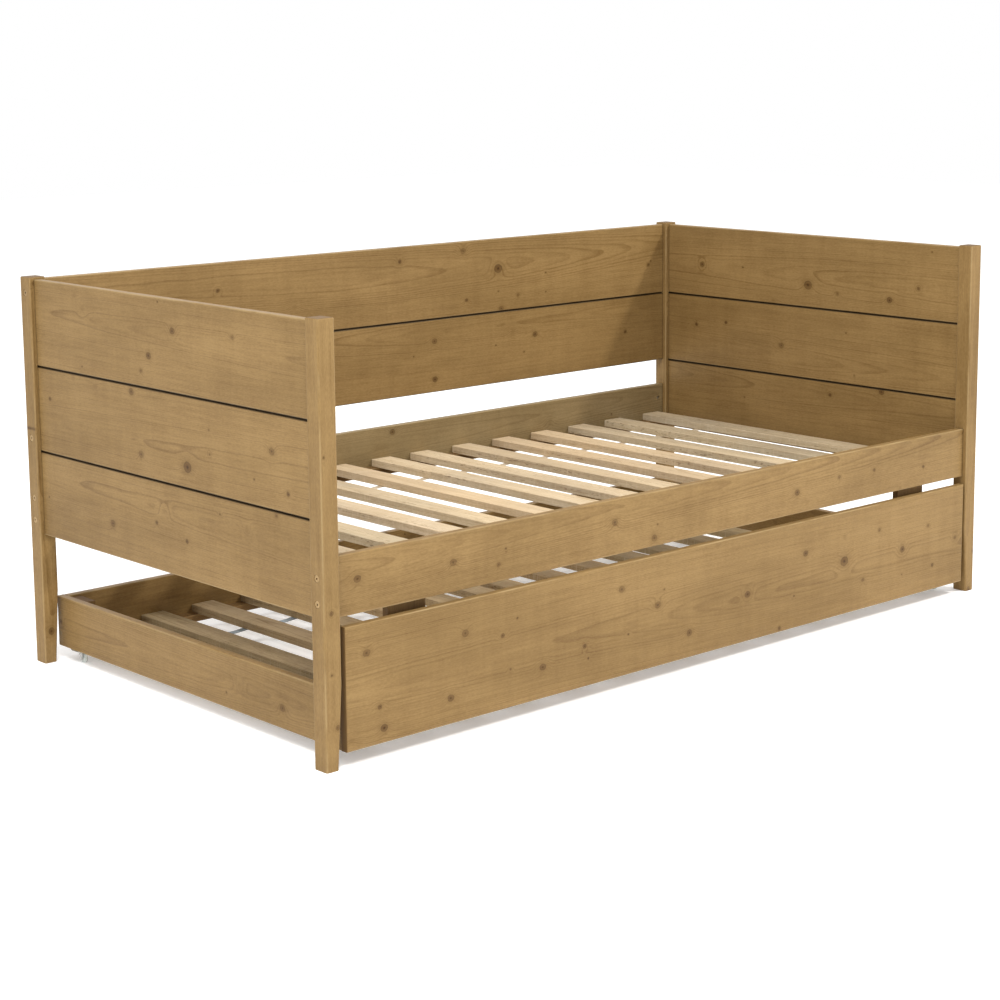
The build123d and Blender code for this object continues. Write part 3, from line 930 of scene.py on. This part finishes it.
@dataclass
class Shell:
    """Points and faces gathered for one piece before it becomes a mesh."""

    points: list[np.ndarray] = field(default_factory=list)
    faces: list[tuple[int, ...]] = field(default_factory=list)
    count: int = 0

    def grid(self, grid: np.ndarray, wrap_rows: bool = False, wrap_columns: bool = False) -> None:
        """Add a surface of four-sided faces over a grid of points.

        Args:
            grid: rows by columns by 3. Faces point to the side where, seen from outside, the
                columns run anticlockwise from the rows.
            wrap_rows: join the last row to the first.
            wrap_columns: join the last column to the first.
        """
        rows, columns = grid.shape[:2]
        number = np.arange(rows * columns).reshape(rows, columns) + self.count
        row = np.arange(rows if wrap_rows else rows - 1)
        column = np.arange(columns if wrap_columns else columns - 1)
        i, j = np.meshgrid(row, column, indexing="ij")
        i_next, j_next = (i + 1) % rows, (j + 1) % columns
        corners = [number[i, j], number[i_next, j], number[i_next, j_next], number[i, j_next]]
        self.faces += np.stack([c.ravel() for c in corners], axis=1).tolist()
        self.points.append(grid.reshape(-1, 3))
        self.count += rows * columns

    def tube(self, rings: np.ndarray) -> None:
        """Add a closed tube through rings of points, with a flat cap on each end.

        Args:
            rings: ring by point by 3. The ring's points run clockwise seen from the start.
        """
        start = self.count
        steps, around = rings.shape[:2]
        self.grid(rings, wrap_columns=True)
        self.faces.append(tuple(start + np.arange(around)))
        self.faces.append(tuple(start + (steps - 1) * around + np.arange(around)[::-1]))

    def piece(
        self, name: str, material: bpy.types.Material, body: str, smooth: bool = True
    ) -> bpy.types.Object:
        """Turn what was gathered into an object that rides on a body.

        Args:
            name: the piece's name.
            material: its finish.
            body: the CAD body that it moves with.
            smooth: shade it smooth, with edges sharper than 40 degrees kept crisp.

        Returns:
            The new object.
        """
        mesh = bpy.data.meshes.new(name)
        mesh.from_pydata(np.concatenate(self.points).tolist(), [], self.faces)
        mesh.validate()
        mesh.materials.append(material)
        if smooth:
            mesh.shade_smooth()
            mesh.set_sharp_from_angle(angle=SHARP_EDGE)
        made = bpy.data.objects.new(name, mesh)
        bpy.context.scene.collection.objects.link(made)
        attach(made, body)
        LOG.info("piece: %s on %s, %d faces", name, body, len(self.faces))
        return made


def lathe(profile: np.ndarray, steps: int, place: Callable[..., np.ndarray]) -> np.ndarray:
    """Turn a closed profile about an axis.

    Each point at distance r from the axis and height h becomes a circle of points
    (r cos a, r sin a, h), which place then carries to the piece.

    Args:
        profile: points by 2, distance and height.
        steps: how many points to the circle.
        place: takes the circle's two coordinates and the height, and gives points in the bed.

    Returns:
        A grid of profile points by steps by 3.
    """
    angle = np.linspace(0.0, 2 * math.pi, steps, endpoint=False)
    distance, height = profile[:, :1], profile[:, 1:]
    flat = distance * np.cos(angle), distance * np.sin(angle)
    return place(*flat, np.broadcast_to(height, flat[0].shape))


def rounded(corners: Sequence[tuple[float, float]], radius: float, steps: int = 4) -> np.ndarray:
    """Round the corners of a closed outline with quadratic curves.

    Each corner P becomes the curve (1-t)^2 A + 2t(1-t) P + t^2 B, where A and B lie radius
    away from P on its two sides, or a third of the side away where that is less.

    Args:
        corners: the outline's corners in order.
        radius: how far each curve reaches.
        steps: how many points each curve gets.

    Returns:
        The rounded outline, points by 2.
    """
    at = np.array(corners, float)
    before, after = np.roll(at, 1, axis=0) - at, np.roll(at, -1, axis=0) - at
    reach_in, reach_out = np.linalg.norm(before, axis=1), np.linalg.norm(after, axis=1)
    start = at + before * (np.minimum(radius, reach_in / 3) / reach_in)[:, None]
    stop = at + after * (np.minimum(radius, reach_out / 3) / reach_out)[:, None]
    t = np.linspace(0.0, 1.0, steps)[None, :, None]
    curve = (1 - t) ** 2 * start[:, None] + 2 * t * (1 - t) * at[:, None] + t**2 * stop[:, None]
    return curve.reshape(-1, 2)


# --- Webbing and staples -------------------------------------------------------------------


@dataclass
class TapedDeck:
    """The two webbing tapes under one deck's slats, and the staples that hold them."""

    name: str
    tape_node: str
    body: str
    slot: str
    webbing: Webbing
    slats: Sequence[tuple[float, float]]
    half_width: float = 0.010
    sag: float = 0.0022
    step: float = 0.006
    wire: float = 0.0006
    crown: float = 0.0105

    def __post_init__(self) -> None:
        """Read the tapes' place from their CAD node."""
        low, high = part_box(self.tape_node)
        self.left, self.right, self.top = low.x, high.x, high.z
        self.thickness = high.z - low.z
        self.middles = (low.y + self.half_width, high.y - self.half_width)

    def _droop(self, x: np.ndarray) -> np.ndarray:
        """How far the tape hangs at x: none under a slat, a shallow arc in each gap.

        Between slats the drop is sag times sin(pi t), with t running from 0 to 1 over the gap.
        """
        edges = np.array(self.slats)
        starts, stops = edges[:-1, 1], edges[1:, 0]
        t = (x[:, None] - starts) / (stops - starts)
        inside = (t > 0) & (t < 1)
        return (self.sag * np.sin(math.pi * np.clip(t, 0, 1)) * inside).sum(axis=1)

    def build(self, staple_finish: bpy.types.Material) -> None:
        """Make the tapes, which stand for the CAD node, and their staples."""
        shell = Shell()
        half, thick = self.half_width, self.thickness * 0.9
        outline = rounded([(-half, 0), (-half, thick), (half, thick), (half, 0)], thick * 0.45)
        along = np.arange(self.left, self.right + self.step / 2, self.step)
        drop = self.top - self._droop(along) - thick
        for middle in self.middles:
            rings = np.empty((len(along), len(outline), 3))
            rings[..., 0] = along[:, None]
            rings[..., 1] = middle + outline[:, 0]
            rings[..., 2] = drop[:, None] + outline[:, 1]
            shell.tube(rings[:, ::-1])
        finish = self.webbing.material(self.middles, self.half_width)
        tapes = shell.piece(f"{self.name}_webbing", finish, self.body)
        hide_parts(self.tape_node)
        self._staples(staple_finish)

    def _staples(self, finish: bpy.types.Material) -> None:
        """Make one staple where each tape crosses each slat.

        The wire's middle line is a flat crown with its two ends turned up into the slat, and a
        circle of eight points is carried along it.
        """
        shell = Shell()
        half, rise, bend = self.crown / 2, self.thickness + 0.0012, 0.0008
        line = np.array(
            [(-half, rise), (-half, bend), (-half + bend, 0), (half - bend, 0), (half, bend), (half, rise)]
        )
        turn = np.array([(1, 0), (0.92, 0.38), (0.38, 0.92), (-0.38, 0.92), (-0.92, 0.38), (-1, 0)])
        angle = np.linspace(0, 2 * math.pi, 8, endpoint=False)
        side, out = np.cos(angle) * self.wire, np.sin(angle) * self.wire
        ring_u = line[:, :1] + np.abs(turn[:, :1]) * np.sign(-turn[:, :1]) * out
        ring_w = line[:, 1:] - turn[:, 1:] * out
        floor = self.top - self.thickness - self.wire * 0.4
        shape = (len(line), len(angle))
        draw = np.random.default_rng(5)
        for slat_left, slat_right in self.slats:
            for middle in self.middles:
                x = (slat_left + slat_right) / 2 + float(draw.uniform(-0.006, 0.006))
                y = middle + float(draw.uniform(-0.0015, 0.0015))
                tilt = float(draw.uniform(-0.2, 0.2))
                u, v = np.broadcast_to(ring_u, shape), np.broadcast_to(side, shape)
                rings = np.stack(
                    [
                        x + v * math.cos(tilt) - u * math.sin(tilt),
                        y + v * math.sin(tilt) + u * math.cos(tilt),
                        floor + ring_w,
                    ],
                    axis=2,
                )
                shell.tube(rings)
        shell.piece(f"{self.name}_staples", finish, self.body)


# --- Casters -------------------------------------------------------------------------------


@dataclass
class Caster:
    """One swivel caster's pressed fork and moulded wheel, in place of their plain CAD shapes."""

    place: str
    steps: int = 48
    lip: float = 0.0012
    foot_drop: float = 0.0042
    cheek_top: float = 0.0092
    cheek_foot: float = 0.0040
    cheek_gap: float = 0.0006
    cheek_thickness: float = 0.0014

    def __post_init__(self) -> None:
        """Read the caster's sizes from its CAD nodes."""
        self.wheel_node = f"caster_wheel_{self.place}"
        self.fork_node = f"caster_fork_{self.place}"
        low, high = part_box(self.wheel_node)
        self.hub = (low + high) / 2
        self.radius = (high.z - low.z) / 2
        self.half_width = (high.x - low.x) / 2
        low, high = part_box(self.fork_node)
        self.race = (high.x - low.x) / 2
        self.top = high.z
        self.pivot_y = high.y - self.race

    def _across(self, a: np.ndarray, b: np.ndarray, h: np.ndarray) -> np.ndarray:
        """Carry a turned shape onto the axle: the axis lies along X."""
        return np.stack([self.hub.x + h, self.hub.y + a, self.hub.z + b], axis=2)

    def _upright(self, a: np.ndarray, b: np.ndarray, h: np.ndarray) -> np.ndarray:
        """Carry a turned shape onto the kingpin: the axis lies along Z."""
        return np.stack([self.hub.x + a, self.pivot_y + b, h], axis=2)

    def wheel(self, finish: bpy.types.Material) -> None:
        """Make the wheel: a crowned tread with a mould line, dished sides and a raised hub."""
        r, w = self.radius, self.half_width
        corners = [
            (0.00165, -w), (0.0038, -w), (0.0041, -w + 0.0014), (r - 0.0029, -w + 0.0016),
            (r - 0.0022, -w + 0.0002), (r - 0.0009, -w + 0.0004), (r - 0.0001, -w + 0.0020),
            (r - 0.00002, -0.0004), (r - 0.0002, 0.0), (r - 0.00002, 0.0004),
            (r - 0.0001, w - 0.0020), (r - 0.0009, w - 0.0004), (r - 0.0022, w - 0.0002),
            (r - 0.0029, w - 0.0016), (0.0041, w - 0.0014), (0.0038, w), (0.00165, w),
        ]
        shell = Shell()
        shell.grid(lathe(rounded(corners, 0.0005, 3), self.steps, self._across), True, True)
        made = shell.piece(f"wheel_{self.place}_tread", finish, f"wheel_{self.place}")
        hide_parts(self.wheel_node)

    def fork(self, finish: bpy.types.Material) -> None:
        """Make the fork: a dished race under the plate and two cheeks that narrow to the axle.

        A cheek is a grid: its height runs from the race to below the axle, its middle shifts
        back by the trail and its width shrinks along a cosine, and the section is a thin
        rounded bar.
        """
        shell = Shell()
        top, race = self.top, self.race
        disc = [
            (0.00306, top - 0.0016), (0.00306, top - 0.0001), (0.0062, top), (0.0072, top - 0.0004),
            (0.0085, top - 0.0004), (0.0095, top), (race - 0.0008, top), (race, top - 0.0008),
            (race, top - 0.0026), (race - 0.0013, top - 0.0026), (race - 0.0013, top - 0.0016),
        ]
        shell.grid(lathe(rounded(disc, 0.0004, 3), self.steps, self._upright), True, True)
        height = np.linspace(0.0, 1.0, 15)
        ease = 0.5 - 0.5 * np.cos(math.pi * height)
        z = (top - self.lip) + (self.hub.z - self.foot_drop - top + self.lip) * height
        middle = self.pivot_y + (self.hub.y - self.pivot_y) * ease
        half = self.cheek_top + (self.cheek_foot - self.cheek_top) * ease
        half[-3:] *= (0.93, 0.78, 0.45)
        for side in (-1, 1):
            flare = 0.0010 * (1 - ease) ** 3
            inner = self.half_width + self.cheek_gap + flare
            bar = rounded([(-1, 0), (1, 0), (1, 1), (-1, 1)], 0.25, 4)
            x = self.hub.x + side * (inner[:, None] + self.cheek_thickness * bar[:, 1])
            y = middle[:, None] + half[:, None] * bar[:, 0]
            rings = np.stack([x, y, np.broadcast_to(z[:, None], x.shape)], axis=2)
            shell.tube(rings if side > 0 else rings[:, ::-1])
        made = shell.piece(f"fork_{self.place}_pressing", finish, f"swivel_{self.place}")
        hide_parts(self.fork_node)


# --- Studio --------------------------------------------------------------------------------


@dataclass(frozen=True)
class Softbox:
    """A rectangular studio light."""

    name: str
    place: tuple[float, float, float]
    aim: tuple[float, float, float]
    size: float
    watts: float
    colour: Colour = (1.0, 1.0, 1.0)

    def build(self) -> None:
        """Hang the light and turn it towards its aim."""
        lamp = bpy.data.lights.new(self.name, "AREA")
        lamp.shape = "SQUARE"
        lamp.size = self.size
        lamp.energy = self.watts
        lamp.color = self.colour
        made = bpy.data.objects.new(self.name, lamp)
        made.location = self.place
        way = np.array(self.aim) - np.array(self.place)
        made.rotation_mode = "QUATERNION"
        made.rotation_quaternion = Vector(way).to_track_quat("-Z", "Y")
        bpy.context.scene.collection.objects.link(made)


@dataclass(frozen=True)
class Studio:
    """The pale floor, the soft lights and the camera."""

    lens: float = 78.525
    sensor: float = 36.0
    place: tuple[float, float, float] = (-3.4196, -3.7281, 1.3661)
    yaw: float = 42.551
    pitch: float = 9.279
    roll: float = -0.386
    shift: tuple[float, float] = (-0.030, -0.100)
    floor_half: float = 14.0
    ambient: float = 1.0
    floor_glow: float = 0.25

    def camera(self) -> None:
        """Set up the camera: turn by yaw from +Y towards +X, then look down by pitch."""
        lens = bpy.data.cameras.new("camera")
        lens.lens = self.lens
        lens.sensor_width = self.sensor
        lens.shift_x, lens.shift_y = self.shift
        lens.clip_start, lens.clip_end = 0.05, 60.0
        made = bpy.data.objects.new("camera", lens)
        made.location = self.place
        turn = Matrix.Rotation(math.radians(-self.yaw), 3, "Z")
        tip = Matrix.Rotation(math.radians(90.0 - self.pitch), 3, "X")
        tilt = Matrix.Rotation(math.radians(self.roll), 3, "Z")
        made.rotation_mode = "QUATERNION"
        made.rotation_quaternion = (turn @ tip @ tilt).to_quaternion()
        bpy.context.scene.collection.objects.link(made)
        bpy.context.scene.camera = made

    def floor(self) -> None:
        """Lay the floor: one wide sheet of pale, slightly uneven card."""
        half = self.floor_half
        corners = [(-half, -half, 0), (half, -half, 0), (half, half, 0), (-half, half, 0)]
        mesh = bpy.data.meshes.new("floor")
        mesh.from_pydata(corners, [], [(0, 1, 2, 3)])
        sheet = Sheet("floor_card")
        x, y, _ = sheet.place()
        mottle = sheet.noise(x * 3.0, y * 3.0, 0.0, 3.0)
        colour = sheet.mix(mottle, (0.90, 0.90, 0.90), (0.93, 0.93, 0.93))
        mesh.materials.append(
            sheet.surface(
                {
                    "Base Color": colour,
                    "Roughness": 0.85,
                    "Specular IOR Level": 0.1,
                    "Emission Color": (1.0, 1.0, 1.0, 1.0),
                    "Emission Strength": self.floor_glow,
                }
            )
        )
        made = bpy.data.objects.new("floor", mesh)
        bpy.context.scene.collection.objects.link(made)

    def light(self) -> None:
        """Hang the softboxes and fill the room with even white light."""
        world = bpy.data.worlds.new("studio_air")
        world.use_nodes = True
        air = world.node_tree.nodes["Background"]
        air.inputs["Color"].default_value = (1.0, 1.0, 1.0, 1.0)
        air.inputs["Strength"].default_value = self.ambient
        bpy.context.scene.world = world
        middle = (0.0, 0.0, 0.45)
        for softbox in (
            Softbox("upper_left", (-2.6, -1.6, 3.9), (0.3, 0.0, 0.3), 1.8, 132.0),
            Softbox("right_key", (3.5, -3.4, 4.6), middle, 0.45, 205.0, (1.0, 0.98, 0.95)),
            Softbox("rear_fill", (1.5, 4.5, 3.0), middle, 3.0, 20.0),
        ):
            softbox.build()

    def build(self) -> None:
        """Set up the whole studio, with colours shown plainly."""
        bpy.context.scene.view_settings.view_transform = "Standard"
        self.camera()
        self.floor()
        self.light()
        LOG.info("studio ready")


# --- The bed -------------------------------------------------------------------------------


@dataclass
class Bed:
    """The whole bed: timber, fittings, webbing and casters."""

    nodes: Mapping[str, bpy.types.Object]
    caster_places: Sequence[str] = ("front_left", "front_right", "rear_left", "rear_right")

    def _slat_edges(self) -> list[tuple[float, float]]:
        """Left and right edge of each upper slat, from its CAD node."""
        boxes = [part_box(f"slat_{number:02d}") for number in range(1, SLAT_COUNT + 1)]
        return [(low.x, high.x) for low, high in boxes]

    def _trundle_slat_edges(self, width: float = 0.06) -> list[tuple[float, float]]:
        """Left and right edge of each trundle slat.

        The slats are one CAD node, so their left edges are the distinct lowest X of its
        points, one to each stretch of a slat's width.
        """
        mesh = self.nodes["trundle_slats"].data
        points = np.empty(len(mesh.vertices) * 3)
        mesh.vertices.foreach_get("co", points)
        x = np.sort(points[0::3])
        starts = x[np.concatenate([[True], np.diff(x) > 0.02])]
        lefts = [starts[0]]
        for start in starts[1:]:
            if start - lefts[-1] > width + 0.002:
                lefts.append(start)
        return [(float(left), float(left) + width) for left in lefts]

    def fittings(self) -> None:
        """Dress the bolts, nuts, screws and the casters' plates and axles."""
        bronze, zinc, yellow = BRONZE.material(), ZINC.material(), PASSIVATED.material()
        finishes = {"frame_bolts": bronze, "barrel_nuts": zinc, "trundle_screws": yellow}
        finishes |= {"caster_screws": zinc, "caster_plates": zinc}
        finishes |= {f"caster_axle_{place}": zinc for place in self.caster_places}
        for node, finish in finishes.items():
            put_finish(self.nodes[node], finish)
            LOG.info("fitting: %s", node)

    def build(self) -> None:
        """Dress every CAD node and add the pieces that replace plain shapes."""
        Joinery(self.nodes).dress()
        self.fittings()
        wire = STAPLE_WIRE.material()
        upper = self._slat_edges()
        TapedDeck("deck", "slat_tapes", "bed_frame", "tape_tan", TAN_TAPE, upper).build(wire)
        lower = self._trundle_slat_edges()
        TapedDeck("trundle", "trundle_tapes", "trundle", "tape_grey", GREY_TAPE, lower).build(wire)
        plastic, steel = TREAD.material(), ZINC.material()
        for place in self.caster_places:
            caster = Caster(place)
            caster.wheel(plastic)
            caster.fork(steel)


def main() -> None:
    """Load the frame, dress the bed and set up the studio."""
    logging.basicConfig(level=logging.INFO, format="%(name)s: %(message)s")
    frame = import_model()
    Bed(frame["nodes"]).build()
    Studio().build()


if __name__ == "__main__":
    main()
